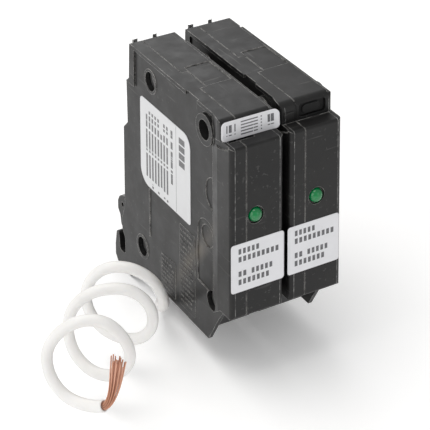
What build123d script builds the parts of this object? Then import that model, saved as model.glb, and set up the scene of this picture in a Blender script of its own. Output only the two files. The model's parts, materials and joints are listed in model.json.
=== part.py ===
from build123d import *
import os
from math import acos, cos, hypot, pi, sin, tan

# Two-pole plug-on surge arrester: two narrow cases riveted side by side, each with a bus clip,
# a thermally protected varistor, a trip arm, a spring plunger and an indicator lamp, plus one
# shared neutral pigtail.
#
# Each pole is drawn in its own frame (mm):
#   x  width, 0 near the left side, + to the right
#   y  depth, 0 on the front face of the nose, + towards the panel at the back
#   z  height, 0 on the straight bottom edge of the case, + up
# The saved row frame keeps these directions. Its origin is on the outermost right plane of the
# left pole, on the back seat plane, ORIGIN_Z above the bottom edge.
# Tools that cut or trim the case run past its surface.

POLE_PITCH = 19.05      # breaker-space width of one pole (3/4 inch)

# planes across the width
NOSE_X = -1.35          # left side of the nose
RIM_X = -0.60           # raised rim on the left side
PANEL_X = -0.10         # recessed left side panel
CASE_X = 15.65          # right side of the moulding
BOSS_X = 17.70          # outer face of the right-hand bosses
WALL = 1.4              # right-hand wall
CASE_INNER_X = CASE_X - WALL
RIB_END_X = CASE_INNER_X + 0.2      # case ribs run into the wall
SEAM_X = 3.55           # parting plane between cover and case
SEAM_GAP = 0.06         # half of the visible parting gap
COVER_END_X = SEAM_X - SEAM_GAP
CASE_START_X = SEAM_X + SEAM_GAP

# planes in depth and height
SEAT_Y = 65.1
SHOULDER_Y = 4.9        # front face above the shelf
ORIGIN_Z = 30.5
TOP_Z = 71.5
SHELF_Z = 65.6
NOSE_BOTTOM_Z = 14.07
FLOOR_Z = 1.8           # inside floor
FRONT_CORNER_R = 1.35   # rounded vertical front edges

# rivet places (y, z)
BACK_TOP = (47.7, 64.5)
FRONT_TOP = (14.6, 65.0)
BACK_LOW = (53.7, 8.1)
FRONT_LOW = (12.5, 13.0)
RIVETS = [BACK_TOP, FRONT_TOP, BACK_LOW, FRONT_LOW]
RIVET_SHANK_R = 1.5
RIVET_HOLE_R = 1.6
RIVET_HEAD_R = 2.6
RIVET_TAIL_R = 2.3
COUNTERBORE_R = 2.9
COVER_BORE_X = (-3, 2.2)
CASE_BORE_X = (15.0, 20)
POST_R = 3.5
CASE_BOSS_R = 4.4

LAMP_X = {"left": 6.55, "right": 7.30}
LAMP_Z = 44.3
LAMP_R = 2.1
LAMP_FLANGE_R = 2.55
LAMP_FACE_Y = 0.75      # where the dome meets the lens barrel
LAMP_BACK_Y = 6.2
LEAD_OFFSET = 1.27      # lamp leads either side of the lamp axis

BOARD_Y = (10.0, 11.2)
RESISTOR_X = 4.6
RESISTOR_Y = 13.2
RESISTOR_LEG_Z = (46.6, 55.9)
RESISTOR_LEG_R = 0.3

VARISTOR_AT = (27.5, 30.5)      # disc centre (y, z)
VARISTOR_R = 12.5
VARISTOR_X = (5.0, 11.0)
TAB_T = 0.45

PIVOT_AT = (44.0, 52.0)         # trip arm pivot (y, z)
ARM_X = (11.6, 12.5)
PIN_R = 1.0
PIN_CLEARANCE = 0.05

SPRING_Z = (12.0, 26.0)         # from the spring shelf to the bottom of the plunger

STRAP_T = 0.8           # thickness of clip and straps
CLIP_X = 5.25           # centre plane of the bus clip
CLIP_Z = (60.0, 69.5)
CLIP_BACK_Y = 52.0
CLIP_HALF_GAP = 1.6     # half the gap between the leaves

WINDOW_X = (4.5, 13.3)
WINDOW_Z = (66.5, 70.3)
WINDOW_CLEARANCE = 0.08

LABEL_T = 0.16
SIDE_RELIEF = 0.14      # side label and raised pads above the panel
FRONT_LABEL_X = {"left": -1.45, "right": -2.25}     # left edges
FRONT_LABEL_W = 17.05

JUMPER_AT = (44.0, 5.0)         # (y, z)
JUMPER_R = 1.0
JUMPER_HOLE_R = 1.15

WIRE_AT = (3.5, 48.3)           # (x, y) where the pigtail leaves the bottom
WIRE_R = 1.6
CONDUCTOR_R = 1.0
WIRE_HOLE_R = 2.35
GROMMET_R = 2.3

# pigtail centre line (x, y, z), from inside the case round three loops to the cut end
WIRE_PATH = [
    (*WIRE_AT, 3.4), (*WIRE_AT, 1.2), (*WIRE_AT, -0.7), (2.95, 47.4, -2.9),
    (1.5, 45.0, -3.95), (-0.9, 41.2, -2.75), (-4.35, 35.2, 0.1), (-6.86, 28.6, 5.31),
    (-8.94, 25.58, 9.85), (-11.72, 24.75, 15.4), (-16.0, 26.67, 19.59),
    (-21.14, 30.03, 20.82), (-26.02, 33.15, 18.41), (-28.92, 33.99, 13.03),
    (-28.6, 31.62, 7.26), (-26.01, 27.1, 3.78), (-22.87, 21.65, 3.57), (-20.38, 16.52, 6.25),
    (-18.99, 13.19, 11.35), (-19.93, 12.74, 17.53), (-23.65, 14.62, 22.14),
    (-29.04, 17.63, 23.38), (-34.46, 20.5, 21.89), (-38.87, 22.24, 17.79),
    (-40.62, 21.62, 11.81), (-39.95, 18.75, 6.26), (-37.46, 13.87, 3.25),
    (-34.28, 8.52, 3.93), (-31.9, 4.4, 8.01), (-31.88, 1.96, 13.79), (-34.19, 2.11, 19.64),
    (-38.33, 4.34, 23.78), (-43.68, 7.54, 23.98), (-48.54, 10.15, 20.93),
    (-51.88, 11.09, 15.71), (-52.16, 9.03, 9.85), (-50.0, 4.81, 5.72), (-46.72, -0.47, 4.96),
    (-43.85, -5.78, 6.87),
]
STRAND_R = 0.19
STRAND_PITCH = 0.45
STRAND_REACH = (3.6, -1.7, 13.2)    # from the cut end to the middle of the strand tips
# fixed unevenness of the strands, read in several orders
WOBBLE = [0.0, 0.35, -0.25, 0.15, -0.4, 0.3, -0.1, 0.45, -0.3, 0.2,
          -0.45, 0.1, 0.4, -0.2, 0.25, -0.35, 0.05, -0.15, 0.38]


# ------------------------------------------------------------------ helpers
def rounded_face(corners):
    """Closed planar face from (u, v[, radius]) corners."""
    count = len(corners)
    arcs, starts, ends = [], [], []
    for i, corner in enumerate(corners):
        u, v = corner[:2]
        radius = corner[2] if len(corner) > 2 else 0.0
        if radius <= 0:
            starts.append((u, v))
            ends.append((u, v))
            arcs.append(None)
            continue
        before, after = corners[i - 1], corners[(i + 1) % count]
        back = (before[0] - u, before[1] - v)
        ahead = (after[0] - u, after[1] - v)
        back_len, ahead_len = hypot(*back), hypot(*ahead)
        back = (back[0] / back_len, back[1] / back_len)
        ahead = (ahead[0] / ahead_len, ahead[1] / ahead_len)
        cosine = max(-0.9999, min(0.9999, back[0] * ahead[0] + back[1] * ahead[1]))
        half_angle = acos(cosine) / 2
        setback = radius / tan(half_angle)
        start = (u + back[0] * setback, v + back[1] * setback)
        end = (u + ahead[0] * setback, v + ahead[1] * setback)
        bisector = (back[0] + ahead[0], back[1] + ahead[1])
        # the arc's middle lies on the bisector, one radius short of its centre
        reach = (radius / sin(half_angle) - radius) / hypot(*bisector)
        middle = (u + bisector[0] * reach, v + bisector[1] * reach)
        starts.append(start)
        ends.append(end)
        arcs.append(ThreePointArc(start, middle, end))
    edges = []
    for i in range(count):
        if arcs[i] is not None:
            edges.append(arcs[i])
        here, there = ends[i], starts[(i + 1) % count]
        if hypot(here[0] - there[0], here[1] - there[1]) > 1e-5:
            edges.append(Line(here, there))
    return make_face(edges)


def prism_x(corners, x0, x1):
    """Extrude a (y, z) outline from x0 to x1."""
    return extrude(Plane.YZ.offset(x0) * rounded_face(corners), amount=x1 - x0)


def prism_z(corners, z0, z1):
    """Extrude an (x, y) outline from z0 to z1."""
    return extrude(Plane.XY.offset(z0) * rounded_face(corners), amount=z1 - z0)


def plate_y(x0, x1, z0, z1, y0, y1, radius):
    """Upright plate with rounded corners, from y0 to y1."""
    corners = [(x0, z0, radius), (x1, z0, radius), (x1, z1, radius), (x0, z1, radius)]
    return extrude(Plane.XZ.offset(-y0) * rounded_face(corners), amount=-(y1 - y0))


def box(x0, x1, y0, y1, z0, z1):
    centre = Pos((x0 + x1) / 2, (y0 + y1) / 2, (z0 + z1) / 2)
    return centre * Box(x1 - x0, y1 - y0, z1 - z0)


def slab(x0, x1, top=90):
    """Block covering the whole side view, to keep what lies between two x planes."""
    return box(x0, x1, -5, 90, -20, top)


def cyl_x(y, z, radius, x0, x1):
    return Pos((x0 + x1) / 2, y, z) * Rot(0, 90, 0) * Cylinder(radius, x1 - x0)


def cyl_y(x, z, radius, y0, y1):
    return Pos(x, (y0 + y1) / 2, z) * Rot(90, 0, 0) * Cylinder(radius, y1 - y0)


def cyl_z(x, y, radius, z0, z1):
    return Pos(x, y, (z0 + z1) / 2) * Cylinder(radius, z1 - z0)


def round_wire(path, radius, is_frenet=False):
    section = Plane(origin=path @ 0, z_dir=path % 0) * Circle(radius)
    return sweep(section, path=path, is_frenet=is_frenet)


# --------------------------------------------------------------- case shells
# side outline of the moulding (y, z[, corner radius])
PROFILE = [
    (0.0, NOSE_BOTTOM_Z, 1.0), (0.0, SHELF_Z, 0.7), (SHOULDER_Y, SHELF_Z),
    (SHOULDER_Y, TOP_Z, 2.4), (59.9, TOP_Z, 0.5), (60.4, 60.2, 0.4), (62.9, 58.1, 0.4),
    (62.5, 44.7, 0.3), (SEAT_Y, 42.1, 0.4), (SEAT_Y, 15.9, 1.0), (67.0, 11.0, 1.0),
    (67.0, 7.2, 0.8), (65.2, 4.6, 1.2), (65.2, -0.7, 1.2), (68.7, -0.8, 0.7), (69.3, 4.9, 0.5),
    (70.8, 4.6, 0.7), (71.7, -0.2, 0.5), (71.7, -3.7, 0.6), (70.2, -5.5, 0.8),
    (61.5, -6.3, 1.5), (57.6, -3.5, 1.0), (56.8, 0.0, 0.4), (18.5, 0.0, 0.5), (13.0, 9.0, 1.0),
    (6.0, NOSE_BOTTOM_Z),
]
# side outline of the cavity (y, z[, corner radius])
CAVITY = [
    (1.8, 15.9, 0.5), (1.8, 63.8, 0.5), (6.7, 63.8), (6.7, 69.8, 0.8), (57.9, 69.8, 0.5),
    (58.6, 59.4), (60.9, 57.4), (60.6, 43.9), (63.1, 41.4, 0.5), (63.1, 17.0), (61.6, 12.0),
    (60.8, FLOOR_Z, 0.5), (19.5, FLOOR_Z, 0.5), (14.0, 10.6), (8.0, 15.9),
]
# plan outline (x, y[, corner radius]); the left side flares out to the nose
FOOTPRINT = [
    (RIM_X, 80.0), (RIM_X, 10.9, 0.3), (NOSE_X, 7.4, 0.3), (NOSE_X, 0.0, FRONT_CORNER_R),
    (CASE_X, 0.0, FRONT_CORNER_R), (CASE_X, 80.0),
]
# front of the shoulder in plan (x, y[, corner radius])
SHOULDER_PLAN = [
    (NOSE_X, 30), (NOSE_X, SHOULDER_Y, FRONT_CORNER_R),
    (CASE_X, SHOULDER_Y, FRONT_CORNER_R), (CASE_X, 30),
]
# left side panel inside the rim, open to the back and bottom; this and the
# side outlines below are (y, z[, corner radius])
PANEL = [
    (11.2, -12), (11.2, 30), (11.2, 70.4, 0.4), (57.2, 70.4, 0.4), (57.2, 58.6, 0.4),
    (80, 58.6), (80, -12),
]
# shallow recesses in the left panel
ARCHED_RECESS = [(10.6, 2.4, 0.5), (10.6, 36.55, 4.9), (20.6, 36.55, 4.9), (20.6, 2.4, 0.5)]
DEE_RECESS = [
    (9.0, 41.0), (9.0, 51.2), (11.2, 51.2, 0.3), (15.9, 51.0, 4.6), (15.9, 41.2, 4.6),
    (11.2, 41.0, 0.3),
]
# raised pads on the left panel
RAISED_PADS = [
    [(33.6, 1.4, 0.6), (33.6, 13.2, 0.6), (42.2, 12.2, 0.6), (42.2, 1.4, 0.6)],
    [(22.0, 2.0, 0.6), (22.0, 27.8, 0.6), (31.0, 27.8, 0.6), (31.0, 2.0, 0.6)],
]
# relief in the left side at shelf height
SHELF_RELIEF = [(1.6, 66.6), (1.6, 64.9), (6.6, 63.2), (10.4, 63.2), (10.4, 64.6)]
FIN = [
    (26.0, 0.0), (14.6, 0.0, 0.3), (8.8, 9.4, 0.6), (5.2, NOSE_BOTTOM_Z + 0.3), (26.0, 16.0),
]
HOOK_LOBE = [
    (64.0, 18.7), (66.2, 18.4, 0.5), (69.2, 17.0, 1.2), (70.3, 15.0, 0.8), (70.3, 12.4, 0.8),
    (68.9, 10.9, 0.5), (68.1, 7.6, 0.8), (66.4, 7.4), (64.0, 8.0),
]


def make_body():
    """Solid outer form shared by cover and case."""
    body = prism_x(PROFILE, NOSE_X - 1, CASE_X + 1) & prism_z(FOOTPRINT, -20, 90)
    # rounded front corners of the shoulder above the shelf
    trim = box(-5, 20, 3.0, 8.0, SHELF_Z, 80) - prism_z(SHOULDER_PLAN, 60, 85)
    body = body - trim
    body = body - prism_x(PANEL, RIM_X - 1, PANEL_X)
    # gap in the rim along the top
    return body - box(RIM_X - 1, PANEL_X, 19.6, 26.0, 69, 75)


BODY = make_body()
HOLLOW = prism_x(CAVITY, 1.2, CASE_INNER_X)
# stab opening in the back-top corner of both shells
STAB_SLOT = box(0.7, 9.9, 56.0, 66.0, 59.2, 70.2)


def fin(x0, x1):
    """Thin pointed wall below the nose."""
    return prism_x(FIN, x0, x1)


def hook_lobe(x0, x1):
    """Rib above the rail slot, with a small cross hole."""
    return prism_x(HOOK_LOBE, x0, x1) - cyl_x(67.3, 14.9, 0.75, x0 - 1, x1 + 1)


def wire_hole():
    return cyl_z(*WIRE_AT, WIRE_HOLE_R, -2, 3)


def shelf_edge_cut(x0, x1):
    """Relief where the shelf meets the shoulder."""
    return box(x0, x1, 3.7, 5.0, SHELF_Z - 0.8, SHELF_Z + 0.5)


def make_cover(pole):
    shell = BODY & slab(-5, COVER_END_X)
    shell = shell - HOLLOW
    # joint tongue stepping over onto the case at the top
    shell = shell + box(COVER_END_X - 0.5, 5.50, 25.2, 35.8, 70.0, TOP_Z)
    for rivet in RIVETS:
        shell = shell + cyl_x(*rivet, POST_R, PANEL_X, COVER_END_X)
    # boss reaching out to the nose plane, flattened at the top
    shell = shell + (cyl_x(*FRONT_TOP, 4.6, NOSE_X, 1.2) & slab(-5, 5, top=TOP_Z - 0.4))
    for rivet in (BACK_TOP, BACK_LOW):
        shell = shell + cyl_x(*rivet, 3.7, PANEL_X - 0.18, PANEL_X + 0.3)
    for pad in RAISED_PADS:
        shell = shell + prism_x(pad, PANEL_X - SIDE_RELIEF, PANEL_X)
    # thin upright rib on the panel
    shell = shell + box(PANEL_X - 0.22, PANEL_X, 48.6, 49.1, 14.0, 29.6)
    shell = shell + hook_lobe(0.2, COVER_END_X)
    shell = shell - prism_x(ARCHED_RECESS, PANEL_X, PANEL_X + 0.25)
    shell = shell - cyl_x(15.5, 31.6, 3.3, PANEL_X, PANEL_X + 0.50)
    shell = shell - prism_x(DEE_RECESS, PANEL_X, PANEL_X + 0.25)
    # locating ribs that hold the insulating sheet
    for z in (58.4, 17.4):
        for y in (20.0, 36.0):
            shell = shell + box(1.1, 2.6, y, y + 4.0, z, z + 1.0)
    for rivet in RIVETS:
        shell = shell - cyl_x(*rivet, RIVET_HOLE_R, -3, 5)
        shell = shell - cyl_x(*rivet, COUNTERBORE_R, *COVER_BORE_X)
    shell = shell - STAB_SLOT
    shell = shell - prism_x(SHELF_RELIEF, NOSE_X - 1, NOSE_X + 0.45)
    if pole == "left":
        shell = shell + fin(PANEL_X - 0.05, 1.1)
        # the fin covers this counterbore, so it is opened again
        shell = shell - cyl_x(*FRONT_LOW, COUNTERBORE_R, *COVER_BORE_X)
        shell = shell - wire_hole()
        shell = shell - shelf_edge_cut(0.6, 4.0)
    else:
        # small block on the front of the shoulder
        shell = shell + box(-0.5, 2.7, SHOULDER_Y - 0.25, SHOULDER_Y + 0.5, 66.8, 69.0)
        shell = shell - cyl_x(*JUMPER_AT, JUMPER_HOLE_R, -1, 2)
    return shell


def make_case(pole):
    shell = BODY & slab(CASE_START_X, 20)
    shell = shell - HOLLOW
    # notch that receives the cover's tongue
    shell = shell - box(CASE_START_X - 1, 5.62, 25.08, 35.92, 69.0, 73)
    for rivet in RIVETS:
        shell = shell + cyl_x(*rivet, POST_R, CASE_START_X, CASE_X - 0.5)
        shell = shell + cyl_x(*rivet, CASE_BOSS_R, CASE_X - 0.8, BOSS_X)
    # trim along the top of the right side
    shell = shell - box(CASE_X - 1, BOSS_X + 1, 5, 62, TOP_Z - 0.5, TOP_Z + 3)
    shell = shell + hook_lobe(CASE_START_X, 12.0)
    # guide walls for the plunger, then the shelf under its spring
    for y in (28.6, 34.35):
        shell = shell + box(12.0, RIB_END_X, y, y + 1.05, 24.0, 42.0)
    shell = shell + box(11.6, RIB_END_X, 29.8, 34.2, 10.8, SPRING_Z[0])
    # cradle ribs under the varistor
    for y in (20.5, 35.6):
        rib = box(6.2, RIB_END_X, y, y + 1.2, 6.0, 21.0)
        shell = shell + (rib - cyl_x(*VARISTOR_AT, VARISTOR_R + 0.08, 4, 16))
    for rivet in RIVETS:
        shell = shell - cyl_x(*rivet, RIVET_HOLE_R, 0, 20)
        shell = shell - cyl_x(*rivet, COUNTERBORE_R, *CASE_BORE_X)
    shell = shell - STAB_SLOT
    # top face: shallow middle field, step along the right edge, set-back corner
    shell = shell - box(5.9, 14.1, 25.7, 38.3, TOP_Z - 0.22, TOP_Z + 2)
    shell = shell - box(14.3, 17, 37.5, 53.4, TOP_Z - 0.55, TOP_Z + 2)
    shell = shell - box(14.75, 17, 53.4, 64, 59.0, TOP_Z + 2)
    # stepped lamp hole
    lamp_x = LAMP_X[pole]
    shell = shell - cyl_y(lamp_x, LAMP_Z, LAMP_R + 0.08, -1, 3)
    shell = shell - cyl_y(lamp_x, LAMP_Z, 2.55, -1, 0.8)
    # window in the shoulder
    shell = shell - plate_y(*WINDOW_X, *WINDOW_Z, 4.0, 8.0, 0.8)
    if pole == "left":
        shell = shell - wire_hole()
        shell = shell - shelf_edge_cut(3.0, 8.4)
        shell = shell - cyl_x(*JUMPER_AT, JUMPER_HOLE_R, 13, 17)
    else:
        shell = shell + fin(CASE_X - 1.2, CASE_X - 0.05)
        # the fin covers this rivet hole, so it is opened again
        shell = shell - cyl_x(*FRONT_LOW, RIVET_HOLE_R, 12, 20)
        shell = shell - cyl_x(*FRONT_LOW, COUNTERBORE_R, *CASE_BORE_X)
    # slot for the foot spring
    return shell - box(4.9, 8.1, 51.2, 58.4, -4.1, -3.3)


# ----------------------------------------------------------- current-carrying
def beside_clip(corners, side):
    """Place (offset from the clip's centre plane, y[, radius]) corners on one side of it."""
    return [(CLIP_X + side * offset, *rest) for offset, *rest in corners]


def make_bus_clip():
    inner = CLIP_HALF_GAP
    outer = inner + STRAP_T
    leaf = [
        (1.9, 52.0), (1.75, 53.0, 0.6), (inner, 56.4, 2.0), (inner, 57.7, 1.2), (3.45, 61.5),
        (4.25, 61.1), (outer + 0.12, 57.6, 1.2), (outer, 56.4, 2.0), (2.55, 53.0, 0.6),
        (2.7, 52.0),
    ]
    # lug of the flared tip, standing above the leaf
    lug = [(2.55, 60.75), (3.45, 61.5), (4.25, 61.1), (3.85, 60.75)]
    clip = box(CLIP_X - 2.7, CLIP_X + 2.7, CLIP_BACK_Y, CLIP_BACK_Y + STRAP_T, *CLIP_Z)
    for side in (-1, 1):
        clip = clip + prism_z(beside_clip(leaf, side), *CLIP_Z)
        clip = clip + prism_z(beside_clip(lug, side), CLIP_Z[1] - 0.5, CLIP_Z[1] + 2.4)
    return clip


def make_clip_spring():
    """Steel spring hugging the outside of the clip."""
    thick = 0.45
    root = 2.82
    tip = CLIP_HALF_GAP + STRAP_T + 0.14
    arm = [
        (root, 51.5), (root, 53.0, 0.5), (tip, 56.3, 1.5), (tip, 56.9),
        (tip + thick, 56.9), (tip + thick, 56.3, 1.5), (root + thick, 53.0, 0.5),
        (root + thick, 51.5),
    ]
    heights = (CLIP_Z[0] + 2.5, CLIP_Z[1] - 2.5)
    half_width = root + thick
    spring = box(CLIP_X - half_width, CLIP_X + half_width, 51.5, 51.5 + thick, *heights)
    for side in (-1, 1):
        spring = spring + prism_z(beside_clip(arm, side), *heights)
    return spring


def make_line_strap():
    back_y = CLIP_BACK_Y + STRAP_T
    strap = box(CLIP_X - 2.5, 13.4, CLIP_BACK_Y, back_y, 54.0, CLIP_Z[0])
    strap = strap + box(13.4 - STRAP_T, 13.4, 41.0, back_y, 48.5, 56.5)
    return strap - cyl_x(*PIVOT_AT, PIN_R + 0.02, 12, 14)


def make_varistor():
    disc = cyl_x(*VARISTOR_AT, VARISTOR_R, *VARISTOR_X)
    return fillet(disc.edges(), 1.3)


def make_varistor_tabs():
    left_face, right_face = VARISTOR_X
    neutral = box(left_face - TAB_T, left_face, 25.0, 30.0, 2.6, 38.0)
    line = box(right_face, right_face + TAB_T, 28.0, 33.0, 24.0, 49.5)
    return Compound(children=[neutral, line])


def make_solder_pad():
    tab_face = VARISTOR_X[1] + TAB_T
    return cyl_x(30.8, 47.1, 1.8, tab_face, tab_face + 0.12)


def make_neutral_strap():
    strap = box(4.3, 9.0, 24.0, 45.8, FLOOR_Z, FLOOR_Z + STRAP_T)
    # upturned ears at the back
    for x in (8.2, 4.3):
        strap = strap + box(x, x + STRAP_T, 42.0, 45.8, 2.5, 7.4)
    return strap


def make_neutral_terminal():
    upright = box(5.1, 5.1 + STRAP_T, 46.6, 49.8, FLOOR_Z, 8.2)
    return upright + box(5.1, 9.0, 45.8, 49.8, FLOOR_Z, FLOOR_Z + STRAP_T)


def make_neutral_jumper():
    return cyl_x(*JUMPER_AT, JUMPER_R, 9.0, POLE_PITCH + 4.3)


# ------------------------------------------------------------- trip mechanism
def make_arm():
    outline = [
        (28.6, 44.5, 0.6), (35.0, 44.5, 0.8), (40.0, 48.4, 2.0), (45.4, 48.6, 2.4),
        (47.2, 52.0, 2.6), (45.4, 55.4, 2.4), (41.5, 54.8, 2.0), (33.0, 50.4, 2.0),
        (28.6, 50.0, 0.6),
    ]
    return prism_x(outline, *ARM_X) - cyl_x(*PIVOT_AT, PIN_R + PIN_CLEARANCE, 10, 14)


def make_pin():
    shank = cyl_x(*PIVOT_AT, PIN_R, 11.0, CASE_INNER_X)
    return shank + cyl_x(*PIVOT_AT, 1.7, 10.4, 11.0)


def make_plunger():
    plunger = box(11.7, 13.7, 29.7, 34.3, SPRING_Z[1], 44.3)
    top_edges = plunger.edges().filter_by(Axis.X).group_by(Axis.Z)[-1]
    plunger = chamfer(top_edges, 0.6)
    # shallow relief in the left face
    return plunger - box(11.0, 12.05, 29.0, 35.0, 30.0, 36.0)


def make_plunger_spring():
    wire_r = 0.2
    end_gap = 0.1
    bottom, top = SPRING_Z
    path = Helix(pitch=1.35, height=top - bottom - 2 * (wire_r + end_gap), radius=0.95)
    coil = round_wire(path, wire_r, is_frenet=True)
    return Pos(12.7, 32.0, bottom + wire_r + end_gap) * coil


# ------------------------------------------------------------- lamp and board
def make_board(pole):
    board = box(2.2, 13.2, *BOARD_Y, 33.0, 57.0)
    for side in (-1, 1):
        board = board - cyl_y(LAMP_X[pole] + side * LEAD_OFFSET, LAMP_Z, 0.32, 9, 12)
    for z in RESISTOR_LEG_Z:
        board = board - cyl_y(RESISTOR_X, z, 0.34, 9, 12)
    return board


def make_lamp(pole):
    x = LAMP_X[pole]
    lens = cyl_y(x, LAMP_Z, LAMP_R, LAMP_FACE_Y, LAMP_BACK_Y)
    front_half = box(x - 5, x + 5, -5, LAMP_FACE_Y + 0.4, LAMP_Z - 5, LAMP_Z + 5)
    dome = (Pos(x, LAMP_FACE_Y, LAMP_Z) * Sphere(LAMP_R)) & front_half
    flange = cyl_y(x, LAMP_Z, LAMP_FLANGE_R, LAMP_BACK_Y - 1.0, LAMP_BACK_Y)
    return lens + dome + flange


def make_lamp_leads(pole):
    return Compound(children=[
        cyl_y(LAMP_X[pole] + side * LEAD_OFFSET, LAMP_Z, 0.25, LAMP_BACK_Y, 12.0)
        for side in (-1, 1)])


def make_resistor():
    body = cyl_z(RESISTOR_X, RESISTOR_Y, 1.2, 48.2, 54.3)
    resistor = fillet(body.edges(), 0.4)
    low, high = RESISTOR_LEG_Z
    leg_r = RESISTOR_LEG_R
    resistor = resistor + cyl_z(RESISTOR_X, RESISTOR_Y, leg_r, low - leg_r, high + leg_r)
    for z in RESISTOR_LEG_Z:
        resistor = resistor + cyl_y(RESISTOR_X, z, leg_r, 10.2, 13.4)
    return resistor


def make_board_wires():
    line = [(12.2, 11.3, 52.0), (12.2, 12.4, 52.05), (12.3, 15.0, 53.2), (11.6, 22.5, 52.6),
            (11.22, 27.7, 48.6)]
    neutral = [(12.2, 11.3, 35.0), (12.22, 12.4, 34.8), (13.0, 15.5, 27.0),
               (13.1, 18.2, 12.5), (12.0, 19.4, 5.6), (8.4, 23.3, 2.3)]
    return Compound(children=[round_wire(Spline(*route), 0.42) for route in (line, neutral)])


# ----------------------------------------------------------- other case parts
def make_barrier():
    return box(1.35, 1.65, 13.0, 46.0, 19.0, 58.0)


def make_window_plug():
    x0, x1 = WINDOW_X
    z0, z1 = WINDOW_Z
    gap = WINDOW_CLEARANCE
    plug = plate_y(x0 + gap, x1 - gap, z0 + gap, z1 - gap, 5.7, 7.9, 0.7)
    return plug + plate_y(5.8, 11.6, 67.2, 69.7, 5.15, 5.8, 1.2)


def make_foot_spring():
    """Bent strip under the case, with one end in the foot."""
    outline = [(51.9, -0.02), (51.3, -3.98, 0.5), (58.3, -3.98), (58.3, -3.40),
               (52.0, -3.40, 0.4), (52.6, -0.02)]
    return prism_x(outline, 5.0, 8.0)


def make_rivets():
    """Four rivets through both poles, each dished at head and tail."""
    tail_x = POLE_PITCH + 15.0
    rivets = []
    for rivet in RIVETS:
        shank = cyl_x(*rivet, RIVET_SHANK_R, 2.0, tail_x + 0.4)
        head = cyl_x(*rivet, RIVET_HEAD_R, 1.3, 2.2) - cyl_x(*rivet, 1.0, 0.5, 1.9)
        tail = cyl_x(*rivet, RIVET_TAIL_R, tail_x, tail_x + 0.9)
        tail = tail - cyl_x(*rivet, 0.9, tail_x + 0.5, tail_x + 2)
        rivets.append(shank + head + tail)
    return Compound(children=rivets)


# -------------------------------------------------------------------- pigtail
def make_grommet():
    return cyl_z(*WIRE_AT, GROMMET_R, -0.7, FLOOR_Z) - cyl_z(*WIRE_AT, WIRE_R + 0.15, -3, 4)


def make_crimp():
    return cyl_z(*WIRE_AT, 1.55, 3.9, 8.6) - cyl_z(*WIRE_AT, CONDUCTOR_R + 0.02, 2, 10)


def make_insulation():
    return round_wire(Spline(*WIRE_PATH), WIRE_R)


def make_conductor():
    return cyl_z(*WIRE_AT, CONDUCTOR_R, 3.5, 8.9)


def make_strands():
    """Nineteen fine strands that bend up from the cut end and fan out."""
    path = Spline(*WIRE_PATH)
    cut_end = path @ 1
    along = (path % 1).normalized()
    reach = Vector(*STRAND_REACH)
    rise = reach.normalized()
    # cross directions at the cut end, in the bend and at the tips
    side = along.cross(Vector(0, 0, 1)).normalized()
    normal = side.cross(along).normalized()
    bend_normal = side.cross((along + rise).normalized()).normalized()
    tip_side = (side - rise * side.dot(rise)).normalized()
    tip_normal = tip_side.cross(rise).normalized()

    # a centre strand and two rings, the outer one turned slightly
    cells = [(0, 0)]
    for ring in (1, 2):
        for k in range(6 * ring):
            angle = 2 * pi * k / (6 * ring) + (0.12 if ring == 2 else 0)
            radius = ring * STRAND_PITCH
            cells.append((radius * cos(angle), radius * sin(angle)))

    strands = []
    for i, (u, v) in enumerate(cells):
        stretch = 1.0 + 0.09 * WOBBLE[(i * 5) % 19]
        middle_u = u * 1.7 + 0.12 * WOBBLE[(i * 3) % 19]
        tip_u = u * 2.2 + 0.2 * WOBBLE[i]
        tip_v = v * 2.3 + 0.2 * WOBBLE[(i + 7) % 19]
        root = cut_end + side * u + normal * v + along * 0.03
        bend = cut_end + along * 1.9 + rise * 1.5 + side * (u * 1.1) + bend_normal * (v * 1.1)
        middle = cut_end + along * 1.7 + reach * 0.5
        middle = middle + tip_side * middle_u + tip_normal * (v * 1.7)
        tip = cut_end + reach * stretch + tip_side * tip_u + tip_normal * tip_v
        curve = Spline(root, bend, middle, tip, tangents=[along, tip - middle])
        strands.append(round_wire(curve, STRAND_R))
    return Compound(children=strands)


# --------------------------------------------------------------------- labels
def make_front_label(pole):
    x = FRONT_LABEL_X[pole]
    return plate_y(x, x + FRONT_LABEL_W, 22.4, 37.0, -LABEL_T, 0.0, 0.8)


def make_side_label():
    outline = [(24.4, 30.1, 1.0), (24.4, 57.6, 4.0), (54.1, 57.6, 1.5), (54.1, 30.1, 5.0)]
    return prism_x(outline, PANEL_X - SIDE_RELIEF, PANEL_X)


def make_approval_label():
    return plate_y(-1.5, 16.6, 65.66, 71.4, SHOULDER_Y - LABEL_T, SHOULDER_Y, 1.2)


# --------------------------------------------------------------------- output
# parts that differ between the poles
HANDED_PARTS = {
    "cover": make_cover,
    "case": make_case,
    "lamp_board": make_board,
    "lamp_lens": make_lamp,
    "lamp_leads": make_lamp_leads,
    "front_label": make_front_label,
}
# parts that are the same in both poles
COMMON_PARTS = {
    "bus_clip": make_bus_clip,
    "clip_spring": make_clip_spring,
    "line_strap": make_line_strap,
    "varistor": make_varistor,
    "varistor_tabs": make_varistor_tabs,
    "solder_pad": make_solder_pad,
    "trip_arm": make_arm,
    "arm_pin": make_pin,
    "trip_plunger": make_plunger,
    "plunger_spring": make_plunger_spring,
    "resistor": make_resistor,
    "board_wires": make_board_wires,
    "neutral_strap": make_neutral_strap,
    "barrier_sheet": make_barrier,
    "window_plug": make_window_plug,
    "foot_spring": make_foot_spring,
}
# parts made once, drawn in the left pole's frame
SINGLE_PARTS = {
    "through_rivets": make_rivets,
    "side_label": make_side_label,
    "approval_label": make_approval_label,
    "neutral_jumper": make_neutral_jumper,
    "neutral_terminal": make_neutral_terminal,
    "wire_grommet": make_grommet,
    "wire_crimp": make_crimp,
    "pigtail_insulation": make_insulation,
    "pigtail_conductor": make_conductor,
    "pigtail_strands": make_strands,
}


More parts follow.
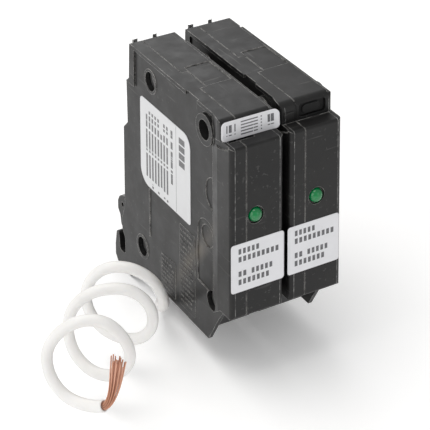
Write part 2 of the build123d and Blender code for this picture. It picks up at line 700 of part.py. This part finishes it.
def save(name, shape, pole="left"):
    """Move a part from its pole's frame to the row frame and write it."""
    shift = -BOSS_X + (POLE_PITCH if pole == "right" else 0.0)
    placed = shape.moved(Location((shift, -SEAT_Y, -ORIGIN_Z)))
    export_step(placed, f"parts/{name}.step")


os.makedirs("parts", exist_ok=True)
for pole in ("left", "right"):
    for name, make in HANDED_PARTS.items():
        save(f"{pole}_{name}", make(pole), pole)
    for name, make in COMMON_PARTS.items():
        save(f"{pole}_{name}", make(), pole)
for name, make in SINGLE_PARTS.items():
    save(name, make())
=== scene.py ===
import bpy, bmesh, json, math
from mathutils import Vector, Matrix, Quaternion


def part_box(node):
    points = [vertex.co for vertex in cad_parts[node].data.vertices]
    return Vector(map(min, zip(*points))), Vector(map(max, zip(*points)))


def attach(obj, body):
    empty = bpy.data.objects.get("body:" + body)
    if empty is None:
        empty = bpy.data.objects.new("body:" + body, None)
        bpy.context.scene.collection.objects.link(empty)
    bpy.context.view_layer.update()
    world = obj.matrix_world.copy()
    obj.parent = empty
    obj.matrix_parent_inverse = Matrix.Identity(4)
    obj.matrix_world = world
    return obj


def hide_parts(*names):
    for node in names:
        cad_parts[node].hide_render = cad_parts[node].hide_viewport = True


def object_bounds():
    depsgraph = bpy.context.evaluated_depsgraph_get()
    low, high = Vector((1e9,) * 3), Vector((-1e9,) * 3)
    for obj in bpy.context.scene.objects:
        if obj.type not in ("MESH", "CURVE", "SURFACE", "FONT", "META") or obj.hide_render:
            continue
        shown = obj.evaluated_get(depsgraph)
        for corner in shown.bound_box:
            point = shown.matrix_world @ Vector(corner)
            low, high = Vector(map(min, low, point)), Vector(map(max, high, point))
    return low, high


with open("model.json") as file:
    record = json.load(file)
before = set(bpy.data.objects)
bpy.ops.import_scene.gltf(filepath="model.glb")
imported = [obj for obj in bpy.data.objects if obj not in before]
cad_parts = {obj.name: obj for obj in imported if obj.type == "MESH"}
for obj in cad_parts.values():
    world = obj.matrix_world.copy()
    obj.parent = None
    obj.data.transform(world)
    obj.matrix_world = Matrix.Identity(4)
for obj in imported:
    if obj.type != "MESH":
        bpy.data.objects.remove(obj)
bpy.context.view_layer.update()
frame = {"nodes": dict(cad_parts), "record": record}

N = frame["nodes"]

# row frame of the case (mm): pole x, depth y from the nose, height z from the bottom edge
OX, OY, OZ = -17.70, -65.1, -30.5
PITCH = 19.05


def P(x, y, z, pole="left"):
    return Vector(((x + OX + (PITCH if pole == "right" else 0.0)) / 1000, (y + OY) / 1000, (z + OZ) / 1000))


# ------------------------------------------------------------ node helpers
class Tree:
    def __init__(self, name):
        self.m = bpy.data.materials.new(name)
        self.m.use_nodes = True
        self.t = self.m.node_tree
        self.t.nodes.clear()
        self.out = self.t.nodes.new("ShaderNodeOutputMaterial")
        self.bsdf = self.t.nodes.new("ShaderNodeBsdfPrincipled")
        self.t.links.new(self.bsdf.outputs[0], self.out.inputs[0])
        self.obj = self.t.nodes.new("ShaderNodeTexCoord").outputs["Object"]
        self._sep = None

    def put(self, sock, val):
        if hasattr(val, "links"):
            self.t.links.new(val, sock)
        elif isinstance(val, (tuple, list)):
            sock.default_value = tuple(val) if len(val) != 3 or sock.type == "VECTOR" else (*val, 1.0)
        else:
            sock.default_value = val

    def set(self, name, val):
        self.put(self.bsdf.inputs[name], val)

    def math(self, op, a, b=0.0, c=None, clamp=False):
        n = self.t.nodes.new("ShaderNodeMath")
        n.operation = op
        n.use_clamp = clamp
        self.put(n.inputs[0], a)
        self.put(n.inputs[1], b)
        if c is not None:
            self.put(n.inputs[2], c)
        return n.outputs[0]

    def xyz(self):
        if self._sep is None:
            s = self.t.nodes.new("ShaderNodeSeparateXYZ")
            self.put(s.inputs[0], self.obj)
            self._sep = s
        return self._sep.outputs

    def scaled(self, sx, sy, sz):
        n = self.t.nodes.new("ShaderNodeMapping")
        self.put(n.inputs["Vector"], self.obj)
        n.inputs["Scale"].default_value = (sx, sy, sz)
        return n.outputs[0]

    def noise(self, scale, detail=3.0, rough=0.55, vec=None, w=None):
        n = self.t.nodes.new("ShaderNodeTexNoise")
        self.put(n.inputs["Vector"], vec if vec is not None else self.obj)
        n.inputs["Scale"].default_value = scale
        n.inputs["Detail"].default_value = detail
        n.inputs["Roughness"].default_value = rough
        return n.outputs[0]

    def voronoi(self, scale, vec=None, feature="F1"):
        n = self.t.nodes.new("ShaderNodeTexVoronoi")
        n.feature = feature
        self.put(n.inputs["Vector"], vec if vec is not None else self.obj)
        n.inputs["Scale"].default_value = scale
        return n.outputs["Distance"]

    def ramp(self, fac, stops):
        n = self.t.nodes.new("ShaderNodeValToRGB")
        self.put(n.inputs[0], fac)
        e = n.color_ramp.elements
        while len(e) < len(stops):
            e.new(0.5)
        for i, (p, c) in enumerate(stops):
            e[i].position = p
            e[i].color = (c, c, c, 1) if not isinstance(c, (tuple, list)) else (*c[:3], 1)
        return n.outputs[0]

    def mix(self, fac, a, b, mode="MIX"):
        n = self.t.nodes.new("ShaderNodeMix")
        n.data_type = "RGBA"
        n.blend_type = mode
        self.put(n.inputs[0], fac)
        self.put(n.inputs[6], a)
        self.put(n.inputs[7], b)
        return n.outputs[2]

    def bump(self, height, strength, dist, normal=None):
        n = self.t.nodes.new("ShaderNodeBump")
        n.inputs["Strength"].default_value = strength
        n.inputs["Distance"].default_value = dist
        self.put(n.inputs["Height"], height)
        if normal is not None:
            self.put(n.inputs["Normal"], normal)
        return n.outputs[0]

    def bevel(self, r, samples=4):
        n = self.t.nodes.new("ShaderNodeBevel")
        n.samples = samples
        n.inputs["Radius"].default_value = r
        return n.outputs[0]

    def edge(self, r, lo, hi, samples=6):
        """0 on flats, 1 near convex and concave edges."""
        b = self.bevel(r, samples)
        g = self.t.nodes.new("ShaderNodeNewGeometry")
        d = self.t.nodes.new("ShaderNodeVectorMath")
        d.operation = "DOT_PRODUCT"
        self.put(d.inputs[0], b)
        self.put(d.inputs[1], g.outputs["Normal"])
        inv = self.math("SUBTRACT", 1.0, d.outputs["Value"])
        return self.ramp(inv, [(lo, 0.0), (hi, 1.0)])

    def rect(self, u, v, u0, u1, v0, v1, soft=0.00006):
        def band(c, a, b):
            m, h = (a + b) / 2, (b - a) / 2
            d = self.math("ABSOLUTE", self.math("SUBTRACT", c, m))
            return self.math("MULTIPLY", self.math("SUBTRACT", h, d), 1.0 / soft, clamp=True)
        return self.math("MULTIPLY", band(u, u0, u1), band(v, v0, v1))


# -------------------------------------------------------------- materials
def case_mat():
    t = Tree("case_plastic")
    grain = t.noise(5200, 2.0, 0.6)
    cloud = t.noise(45, 4.0, 0.6)
    blot = t.noise(170, 5.0, 0.65)
    scr = t.noise(900, 2.0, 0.5, vec=t.scaled(1.0, 0.06, 1.0))
    scr2 = t.noise(800, 2.0, 0.5, vec=t.scaled(0.08, 1.0, 0.9))
    base = t.mix(t.ramp(cloud, [(0.35, 0.0), (0.7, 1.0)]), (0.0085, 0.0084, 0.0088), (0.0140, 0.0136, 0.0134))
    base = t.mix(t.ramp(blot, [(0.52, 0.0), (0.74, 0.55)]), base, (0.026, 0.0250, 0.0238))
    hair = t.math("MAXIMUM", t.ramp(scr, [(0.665, 0.0), (0.71, 1.0)]), t.ramp(scr2, [(0.675, 0.0), (0.72, 1.0)]))
    base = t.mix(t.math("MULTIPLY", hair, 0.30), base, (0.11, 0.108, 0.104))
    # painted edge highlight: convex edges and concave seams lightened, broken up by noise
    e = t.edge(0.00036, 0.012, 0.13)
    edge_highlight = t.math("MULTIPLY", e, t.ramp(t.noise(420, 5.0, 0.75), [(0.38, 0.10), (0.60, 1.0)]))
    c = t.xyz()
    # no painted edge highlight around the shoulder windows
    dz = t.math("ABSOLUTE", t.math("SUBTRACT", c[2], (68.4 - 30.5) / 1000))
    dy = t.math("ABSOLUTE", t.math("SUBTRACT", c[1], (5.6 - 65.1) / 1000))
    keep = t.math("MINIMUM", t.math("LESS_THAN", dz, 0.0027), t.math("LESS_THAN", dy, 0.0016))
    edge_highlight = t.math("MULTIPLY", edge_highlight, t.math("SUBTRACT", 1.0, keep))
    base = t.mix(t.math("MULTIPLY", edge_highlight, 0.85), base, (0.46, 0.45, 0.43))
    # painted warm reflection of a soft light, low on the outer side
    g1 = t.math("SUBTRACT", 1.0, t.math("MULTIPLY", t.math("ABSOLUTE", t.math("SUBTRACT", t.math("ADD", c[1], t.math("MULTIPLY", c[2], 0.78)), -0.0495)), 230.0), clamp=True)
    g2 = t.math("SUBTRACT", 1.0, t.math("MULTIPLY", t.math("ABSOLUTE", t.math("SUBTRACT", c[2], -0.0080)), 48.0), clamp=True)
    g3 = t.math("LESS_THAN", c[0], -0.0160)
    painted_reflection = t.math("MULTIPLY", t.math("MULTIPLY", g1, g2), g3)
    painted_reflection = t.math("MULTIPLY", painted_reflection, t.ramp(t.noise(110, 4.0, 0.6), [(0.35, 0.35), (0.65, 1.0)]))
    base = t.mix(t.math("MULTIPLY", painted_reflection, 0.85), base, (0.135, 0.118, 0.096))
    # painted highlight lines where the rounded front edges begin, broken up by noise
    front = t.math("LESS_THAN", c[1], -0.0598)
    highlight_lines = None
    for x in (-17.72, -3.35, 1.33, 15.70):
        d = t.math("ABSOLUTE", t.math("SUBTRACT", c[0], x / 1000))
        l = t.math("MULTIPLY", t.math("SUBTRACT", 0.00013, d), 12000.0, clamp=True)
        highlight_lines = l if highlight_lines is None else t.math("MAXIMUM", highlight_lines, l)
    brk = t.ramp(t.noise(520, 5.0, 0.75), [(0.42, 0.10), (0.62, 1.0)])
    highlight_lines = t.math("MULTIPLY", t.math("MULTIPLY", highlight_lines, front), brk)
    base = t.mix(t.math("MULTIPLY", highlight_lines, 0.70), base, (0.46, 0.46, 0.45))
    t.set("Base Color", base)
    rough = t.mix(t.ramp(blot, [(0.35, 0.0), (0.75, 1.0)]), (0.32,) * 3, (0.50,) * 3)
    t.set("Roughness", rough)
    t.set("Specular IOR Level", 0.30)
    nrm = t.bump(grain, 0.10, 0.00004, t.bevel(0.00022, 4))
    nrm = t.bump(cloud, 0.10, 0.0006, nrm)
    nrm = t.bump(hair, 0.12, 0.00003, nrm)
    t.set("Normal", nrm)
    return t.m


def metal_mat(name, a, b, rough, scale=700, brushed=(1, 1, 0.05), edge=0.2, bump=0.12):
    t = Tree(name)
    n1 = t.noise(scale, 3.0, 0.6, vec=t.scaled(*brushed))
    n2 = t.noise(90, 4.0, 0.6)
    col = t.mix(t.ramp(n2, [(0.3, 0.0), (0.7, 1.0)]), a, b)
    e = t.edge(0.00015, 0.02, 0.25, 4)
    col = t.mix(t.math("MULTIPLY", e, edge), col, (0.9, 0.88, 0.85))
    t.set("Base Color", col)
    t.set("Metallic", 1.0)
    t.set("Roughness", t.mix(n1, (rough * 0.75,) * 3, (min(1, rough * 1.35),) * 3))
    t.set("Normal", t.bump(n1, bump, 0.00003, t.bevel(0.0001, 3)))
    return t.m


def plastic_mat(name, a, b, rough=0.45, bump=0.08, scale=1800, coat=0.0, sss=0.0):
    t = Tree(name)
    n1 = t.noise(scale, 2.0, 0.5)
    n2 = t.noise(120, 4.0, 0.6)
    t.set("Base Color", t.mix(t.ramp(n2, [(0.3, 0.0), (0.72, 1.0)]), a, b))
    t.set("Roughness", t.mix(n2, (rough * 0.8,) * 3, (min(1, rough * 1.25),) * 3))
    t.set("Coat Weight", coat)
    t.set("Coat Roughness", 0.12)
    if sss:
        t.set("Subsurface Weight", sss)
        t.set("Subsurface Radius", (0.002, 0.002, 0.0018))
        t.set("Subsurface Scale", 0.5)
    t.set("Normal", t.bump(n1, bump, 0.00004, t.bevel(0.00012, 3)))
    return t.m


def label_mat(name, paper, ink, bars, axes, words=420.0, wcut=0.40):
    """bars: (u0, u1, v0, v1, solid) in row metres; printed as plain grey blocks."""
    t = Tree(name)
    c = t.xyz()
    u, v = c[axes[0]], c[axes[1]]
    total = None
    for (u0, u1, v0, v1, solid) in bars:
        r = t.rect(u, v, u0, u1, v0, v1)
        if not solid:
            along = (u1 - u0) >= (v1 - v0)
            sc = [0.0, 0.0, 0.0]
            sc[axes[0] if along else axes[1]] = 1.0
            sc[axes[1] if along else axes[0]] = 0.02
            w = t.noise(words, 1.0, 0.4, vec=t.scaled(*sc))
            r = t.math("MULTIPLY", r, t.ramp(w, [(wcut, 0.0), (wcut + 0.03, 1.0)]))
        total = r if total is None else t.math("MAXIMUM", total, r)
    fibre = t.noise(2600, 3.0, 0.6)
    smear = t.noise(140, 4.0, 0.6)
    pc = t.mix(t.ramp(smear, [(0.35, 0.0), (0.75, 1.0)]), paper, tuple(x * 0.93 for x in paper))
    e = t.edge(0.00035, 0.02, 0.5, 4)
    pc = t.mix(t.math("MULTIPLY", e, 0.25), pc, tuple(x * 0.72 for x in paper))
    dens = t.math("MULTIPLY", total, t.ramp(fibre, [(0.30, 0.80), (0.5, 1.0)]))
    t.set("Base Color", t.mix(dens, pc, ink))
    t.set("Roughness", t.mix(dens, (0.42,) * 3, (0.30,) * 3))
    t.set("Coat Weight", 0.25)
    t.set("Coat Roughness", 0.25)
    t.set("Normal", t.bump(smear, 0.06, 0.0004))
    return t.m


def lamp_mat():
    t = Tree("lamp_green")
    n = t.noise(900, 2.0, 0.5)
    ribs = t.voronoi(1500)
    # painted shade: the lens darkens towards its outline as seen from the camera
    lw = t.t.nodes.new("ShaderNodeLayerWeight")
    lw.inputs["Blend"].default_value = 0.35
    col = t.mix(lw.outputs["Facing"], (0.0, 0.20, 0.045), (0.0, 0.04, 0.010))
    col = t.mix(t.ramp(ribs, [(0.0, 0.0), (0.6, 0.20)]), col, (0.01, 0.26, 0.09))
    t.set("Base Color", col)
    t.set("Roughness", t.mix(n, (0.10,) * 3, (0.2,) * 3))
    t.set("Transmission Weight", 0.0)
    t.set("IOR", 1.5)
    t.set("Coat Weight", 0.30)
    t.set("Coat Roughness", 0.05)
    # painted glow: faint emission stands in for light scattered inside the lens
    t.set("Emission Color", (0.0, 0.5, 0.2, 1))
    t.set("Emission Strength", 0.03)
    t.set("Normal", t.bump(ribs, 0.05, 0.0002))
    return t.m


def wire_mat():
    t = Tree("wire_white")
    n1 = t.noise(160, 4.0, 0.6)
    n2 = t.noise(1500, 3.0, 0.6)
    col = t.mix(t.ramp(n1, [(0.35, 0.0), (0.75, 1.0)]), (0.86, 0.85, 0.835), (0.81, 0.80, 0.78))
    # painted shade: the insulation darkens towards its outline as seen from the camera
    lw = t.t.nodes.new("ShaderNodeLayerWeight")
    lw.inputs["Blend"].default_value = 0.28
    col = t.mix(t.ramp(lw.outputs["Facing"], [(0.25, 0.0), (0.95, 0.75)]), col, (0.56, 0.53, 0.51))
    spot = t.ramp(t.noise(420, 4.0, 0.7), [(0.68, 0.0), (0.80, 0.5)])
    col = t.mix(spot, col, (0.52, 0.49, 0.44))
    t.set("Base Color", col)
    t.set("Roughness", t.mix(n1, (0.30,) * 3, (0.45,) * 3))
    t.set("Subsurface Weight", 0.12)
    t.set("Subsurface Radius", (0.002, 0.0018, 0.0015))
    t.set("Subsurface Scale", 0.4)
    nrm = t.bump(n1, 0.20, 0.0006)
    t.set("Normal", t.bump(n2, 0.05, 0.00005, nrm))
    return t.m


def board_mat():
    t = Tree("board_green")
    n = t.noise(60, 3.0)
    weave = t.voronoi(1400)
    traces = t.ramp(t.noise(300, 0.0, 0.0, vec=t.scaled(1, 1, 0.25)), [(0.50, 0.0), (0.52, 1.0)])
    col = t.mix(n, (0.02, 0.12, 0.05), (0.03, 0.17, 0.07))
    col = t.mix(t.math("MULTIPLY", traces, 0.4), col, (0.05, 0.26, 0.11))
    t.set("Base Color", col)
    t.set("Roughness", 0.35)
    t.set("Normal", t.bump(weave, 0.1, 0.00003))
    return t.m


def bars_front(x0, x1, pole):
    def bar(xa, xb, zc, h):
        a, b = P(xa, 0, zc - h / 2, pole), P(xb, 0, zc + h / 2, pole)
        return (a.x, b.x, a.z, b.z, True)
    s = x0 + 1.45
    out = []
    for zc, words in ((34.7, [(0.9, 8.0)]), (32.3, [(0.9, 14.3)]), (27.9, [(0.9, 3.9), (5.1, 12.3)]), (25.4, [(0.9, 11.2)])):
        for a, b in words:
            n = max(2, round((b - a) / 1.45))
            w = (b - a) / n
            for i in range(n):
                out.append(bar(s + a + i * w, s + a + (i + 1) * w - 0.48, zc, 1.70))
    return out


M = {
    "case_plastic": case_mat(),
    "plug_plastic": plastic_mat("plug_plastic", (0.006, 0.006, 0.006), (0.009, 0.009, 0.009), 0.75, 0.05),
    "tinned_copper": metal_mat("tinned_copper", (0.78, 0.78, 0.77), (0.90, 0.90, 0.89), 0.34),
    "spring_steel": metal_mat("spring_steel", (0.38, 0.39, 0.41), (0.50, 0.51, 0.53), 0.32),
    "copper": metal_mat("copper", (0.72, 0.36, 0.22), (0.80, 0.44, 0.29), 0.32),
    "solder": metal_mat("solder", (0.60, 0.60, 0.60), (0.70, 0.70, 0.70), 0.45, 300, (1, 1, 1)),
    "brass_arm": metal_mat("brass_arm", (0.66, 0.50, 0.22), (0.76, 0.60, 0.30), 0.30),
    "pin_steel": metal_mat("pin_steel", (0.50, 0.51, 0.52), (0.62, 0.63, 0.64), 0.22, 900, (0.05, 1, 1)),
    "rivet_steel": metal_mat("rivet_steel", (0.30, 0.30, 0.295), (0.44, 0.44, 0.43), 0.42, 500, (1, 1, 1)),
    "bare_copper": metal_mat("bare_copper", (0.52, 0.25, 0.16), (0.72, 0.43, 0.32), 0.36, 600, (1, 1, 1), 0.0, 0.05),
    "epoxy": plastic_mat("epoxy", (0.02, 0.07, 0.30), (0.03, 0.10, 0.38), 0.25, 0.15, 500, 0.6),
    "insulator_white": plastic_mat("insulator_white", (0.74, 0.72, 0.65), (0.80, 0.78, 0.72), 0.5, 0.08, 1800, 0, 0.1),
    "board": board_mat(),
    "lamp_green": lamp_mat(),
    "resistor_body": plastic_mat("resistor_body", (0.62, 0.50, 0.33), (0.70, 0.58, 0.40), 0.4, 0.05, 900, 0.3),
    "wire_blue": plastic_mat("wire_blue", (0.04, 0.08, 0.32), (0.06, 0.11, 0.40), 0.35, 0.05, 900, 0.2),
    "fish_paper": plastic_mat("fish_paper", (0.30, 0.32, 0.29), (0.38, 0.40, 0.37), 0.8, 0.3, 2600),
    "wire_white": wire_mat(),
}
INK = (0.085, 0.085, 0.092)
WHITE = (0.80, 0.80, 0.825)
lab_l = label_mat("front_label_left", WHITE, INK, bars_front(-1.45, 15.6, "left"), (0, 2))
lab_r = label_mat("front_label_right", WHITE, INK, bars_front(-2.25, 14.8, "right"), (0, 2))


def bars_side():
    out = []
    def bar(ya, yb, za, zb, solid=False):
        a, b = P(0, ya, za), P(0, yb, zb)
        out.append((a.y, b.y, a.z, b.z, solid))
    for k in range(4):
        z1 = 54.9 - k * 2.35
        bar(27.5, 30.9, z1 - 1.95, z1, True)
    bar(32.45, 32.68, 30.3, 57.3, True)
    bar(34.5, 35.7, 37.8, 54.8)
    for k, (z0, z1) in enumerate(((30.7, 54.7), (30.9, 54.7), (33.6, 50.6), (30.7, 54.7), (31.6, 54.7), (30.6, 54.7), (32.4, 54.7), (33.0, 53.4))):
        y0 = 37.3 + k * 1.76
        bar(y0, y0 + 1.0, z0, z1)
    return out


lab_side = label_mat("side_label_grey", (0.66, 0.665, 0.675), (0.06, 0.06, 0.065), bars_side(), (1, 2), 620.0, 0.40)


def bars_approval():
    out = []
    def bar(xa, xb, za, zb, solid=False):
        a, b = P(xa, 0, za), P(xb, 0, zb)
        out.append((a.x, b.x, a.z, b.z, solid))
    for k in range(5):
        bar(4.6, 11.4, 66.5 + k * 0.92, 66.5 + k * 0.92 + 0.42)
    bar(12.6, 15.2, 67.1, 67.45)
    bar(12.6, 15.2, 68.0, 70.3)
    bar(0.0, 3.0, 67.1, 67.45)
    bar(0.0, 3.0, 68.0, 70.3)
    return out


lab_app = label_mat("approval_label_white", WHITE, (0.09, 0.09, 0.10), bars_approval(), (0, 2), 900.0, 0.45)

slot_of = {s["node"]: s["material_slot"] for s in frame["record"]["subparts"]}
special = {"left_front_label": lab_l, "right_front_label": lab_r, "side_label": lab_side, "approval_label": lab_app}
for name, ob in N.items():
    m = special.get(name) or M[slot_of[name]]
    if len(ob.material_slots) == 0:
        ob.data.materials.append(m)
    for s in ob.material_slots:
        s.material = m


# ----------------------------------------------------------- mesh pieces
def new_obj(name, bm, mat, body="root", smooth=True):
    me = bpy.data.meshes.new(name)
    bmesh.ops.recalc_face_normals(bm, faces=bm.faces)
    bm.to_mesh(me)
    bm.free()
    ob = bpy.data.objects.new(name, me)
    bpy.context.scene.collection.objects.link(ob)
    me.materials.append(mat)
    for p in me.polygons:
        p.use_smooth = smooth
    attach(ob, body)
    return ob


def sheet(name, node, corners_r, front, bend, mat, nu=40, nv=24, th=0.00014):
    """A printed label as a thin curved sheet in the place of its CAD plate.
    front: not used. bend(u, v) gives lift in metres, 0..1 coordinates."""
    lo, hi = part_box(node)
    lo, hi = Vector(lo), Vector(hi)
    w, h = hi.x - lo.x, hi.z - lo.z
    r = corners_r
    # outline-conforming grid: squeeze the rows near the corners
    bm = bmesh.new()
    grid_f, grid_b = [], []
    for j in range(nv + 1):
        v = 0.5 - 0.5 * math.cos(math.pi * j / nv)
        z = v * h
        inset = 0.0
        d = min(z, h - z)
        if d < r:
            inset = r - math.sqrt(max(0.0, r * r - (r - d) ** 2))
        rf, rb = [], []
        for i in range(nu + 1):
            u = 0.5 - 0.5 * math.cos(math.pi * i / nu) if False else i / nu
            x = inset + u * (w - 2 * inset)
            lift = bend(x / w, v)
            yb = hi.y - lift
            rf.append(bm.verts.new((lo.x + x, yb - th, lo.z + z)))
            rb.append(bm.verts.new((lo.x + x, yb, lo.z + z)))
        grid_f.append(rf)
        grid_b.append(rb)
    for j in range(nv):
        for i in range(nu):
            bm.faces.new((grid_f[j][i], grid_f[j][i + 1], grid_f[j + 1][i + 1], grid_f[j + 1][i]))
            bm.faces.new((grid_b[j][i], grid_b[j + 1][i], grid_b[j + 1][i + 1], grid_b[j][i + 1]))
    for j in range(nv):
        for i in (0, nu):
            bm.faces.new((grid_f[j][i], grid_f[j + 1][i], grid_b[j + 1][i], grid_b[j][i]))
    for i in range(nu):
        for j in (0, nv):
            bm.faces.new((grid_f[j][i], grid_b[j][i], grid_b[j][i + 1], grid_f[j][i + 1]))
    ob = new_obj(name, bm, mat)
    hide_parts(node)
    return ob


def lift_front(amp):
    return lambda u, v: amp * (0.35 * max(0.0, (u - 0.93) / 0.07) ** 2 + 0.25 * max(0.0, (0.06 - u) / 0.06) ** 2)


sheet("printed_label_left", "left_front_label", 0.0008, "y", lift_front(0.0002), lab_l)
sheet("printed_label_right", "right_front_label", 0.0008, "y", lift_front(0.0003), lab_r)
sheet("printed_label_upper", "approval_label", 0.0013, "y",
      lambda u, v: 0.0008 * max(0.0, (u - 0.90) / 0.10) ** 1.6 + 0.00025 * (1 - v) * u, lab_app)


# small raised moulding bars on the side panels: plain shapes, no letters
def bar_mesh(bm, y0, y1, z0, z1, x_out, x_in, r=0.05):
    c = 0.06
    o = [(y0, z0), (y1, z0), (y1, z1), (y0, z1)]
    i = [(y0 + c, z0 + c), (y1 - c, z0 + c), (y1 - c, z1 - c), (y0 + c, z1 - c)]
    vo = [bm.verts.new(P(x_in, a, b)) for a, b in o]
    vi = [bm.verts.new(P(x_out, a, b)) for a, b in i]
    bm.faces.new(vi)
    bm.faces.new(vo[::-1])
    for k in range(4):
        bm.faces.new((vo[k], vo[(k + 1) % 4], vi[(k + 1) % 4], vi[k]))


bm = bmesh.new()
seed = 7
for (y0, y1, z0, z1, step) in ((34.4, 41.6, 2.6, 11.4, 1.35), (22.9, 30.2, 3.2, 26.6, 1.6)):
    z = z1
    while z > z0 + 0.6:
        y = y1
        while y > y0 + 0.8:
            seed = (seed * 1103515245 + 12345) % 2147483648
            w = 0.5 + (seed / 2147483648.0) * 1.5
            w = min(w, y - y0)
            bar_mesh(bm, y - w, y, z - 0.62, z, -0.34, -0.20)
            y -= w + 0.45
        z -= step
new_obj("mould_bars", bm, M["case_plastic"], smooth=False)


# cut end of the lead: a softly rounded ring of insulation around the strands
def ring(name, centre, axis, r_in, r_out, length, mat, seg=48):
    axis = axis.normalized()
    side = axis.orthogonal().normalized()
    up = axis.cross(side)
    prof = []
    for k in range(7):
        a = math.pi * k / 6
        prof.append(((r_in + r_out) / 2 + (r_out - r_in) / 2 * math.cos(a), length * math.sin(a)))
    bm = bmesh.new()
    rows = []
    for s in range(seg):
        th = 2 * math.pi * s / seg
        d = side * math.cos(th) + up * math.sin(th)
        rows.append([bm.verts.new(centre + d * r + axis * h) for r, h in prof])
    for s in range(seg):
        a, b = rows[s], rows[(s + 1) % seg]
        for k in range(len(prof) - 1):
            bm.faces.new((a[k], a[k + 1], b[k + 1], b[k]))
        bm.faces.new((a[-1], a[0], b[0], b[-1]))
    return new_obj(name, bm, mat)


# cut end of the pigtail and the direction the wire points there
end_c = P(-43.85, -5.78, 6.87)
end_d = Vector((0.3462, -0.8123, 0.4693))
ring("cut_insulation_edge", end_c, end_d, 0.00112, 0.0016, 0.00028, M["wire_white"])

# ------------------------------------------------------------ stage, light
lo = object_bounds()[0]
bm = bmesh.new()
bmesh.ops.create_grid(bm, x_segments=2, y_segments=2, size=6.0)
me = bpy.data.meshes.new("floor")
bm.to_mesh(me)
bm.free()
floor = bpy.data.objects.new("floor", me)
bpy.context.scene.collection.objects.link(floor)
floor.location = (0, 0, lo[2] - 0.0004)
ft = Tree("floor_pale")
fn = ft.noise(3.0, 2.0)
ft.set("Base Color", ft.mix(fn, (0.955, 0.955, 0.958), (0.965, 0.965, 0.965)))
ft.set("Emission Color", (1.0, 1.0, 1.0))
ft.set("Emission Strength", 0.16)
ft.set("Roughness", 0.9)
me.materials.append(ft.m)

w = bpy.data.worlds.new("studio")
bpy.context.scene.world = w
w.use_nodes = True
w.node_tree.nodes["Background"].inputs[0].default_value = (1, 1, 1, 1)
wt = w.node_tree
lp = wt.nodes.new("ShaderNodeLightPath")
mx = wt.nodes.new("ShaderNodeMath")
mx.operation = "MULTIPLY_ADD"
mx.inputs[1].default_value = 0.50
mx.inputs[2].default_value = 0.50
wt.links.new(lp.outputs["Is Camera Ray"], mx.inputs[0])
wt.links.new(mx.outputs[0], wt.nodes["Background"].inputs[1])


def area(name, loc, target, size, power, color=(1, 1, 1)):
    l = bpy.data.lights.new(name, "AREA")
    l.shape = "RECTANGLE"
    l.size, l.size_y = size
    l.energy = power
    l.color = color
    o = bpy.data.objects.new(name, l)
    bpy.context.scene.collection.objects.link(o)
    o.location = loc
    o.rotation_mode = "QUATERNION"
    o.rotation_quaternion = (Vector(target) - Vector(loc)).to_track_quat("-Z", "Y")
    return o


area("key_top", (-0.15, 0.05, 0.60), (0, -0.03, 0), (0.5, 0.5), 1.9, (1.0, 0.985, 0.96))
area("left_fill", (-0.60, -0.15, 0.22), (0, -0.03, 0), (0.5, 0.4), 0.9)
area("front_fill", (0.25, -0.65, 0.25), (0, -0.03, 0), (0.4, 0.4), 0.30)
area("back_rim", (0.10, 0.55, 0.40), (0, -0.03, 0), (0.5, 0.25), 0.9)

sc = bpy.context.scene
sc.view_settings.view_transform = "Standard"
sc.view_settings.look = "None"
sc.view_settings.exposure = 0.0

# ------------------------------------------------------------------ camera
CAM = [1922.4643832831873, 0.21839372240032282, 0.5121119898993222, -0.007604987432942468,
       -242.81608015794683, -405.49418772511945, 328.61741851214134, 182.7563803852542, -422.5729602081089]
f, pitch, yaw, roll, cx_, cy_, cz_, ppx, ppy = CAM
F = Vector((math.sin(yaw) * math.cos(pitch), math.cos(yaw) * math.cos(pitch), -math.sin(pitch)))
R = Vector((math.cos(yaw), -math.sin(yaw), 0.0))
U = R.cross(F)
R2 = R * math.cos(roll) + U * math.sin(roll)
U2 = -R * math.sin(roll) + U * math.cos(roll)
cd = bpy.data.cameras.new("camera")
cam = bpy.data.objects.new("camera", cd)
sc.collection.objects.link(cam)
sc.camera = cam
cd.sensor_fit = "HORIZONTAL"
cd.sensor_width = 36.0
cd.lens = f / 430.0 * 36.0
loc = P(cx_, cy_, cz_)
rot = Matrix((R2, U2, -F)).transposed().to_quaternion()
cam.rotation_mode = "QUATERNION"
cam.location = loc
cam.rotation_quaternion = rot
cd.clip_start, cd.clip_end = 0.01, 50.0


# the lens shift belongs to this viewing position only: it goes to zero
# when the camera is moved elsewhere
def shift(prop, value):
    d = cd.driver_add(prop).driver
    d.type = "SCRIPTED"
    v = d.variables.new()
    v.name = "px"
    v.type = "SINGLE_PROP"
    v.targets[0].id = cam
    v.targets[0].data_path = "location[0]"
    d.expression = "%.6f if abs(px - (%.6f)) < 0.0005 else 0.0" % (value, loc.x)


shift("shift_x", (215.0 - ppx) / 430.0)
shift("shift_y", (ppy - 215.0) / 430.0)
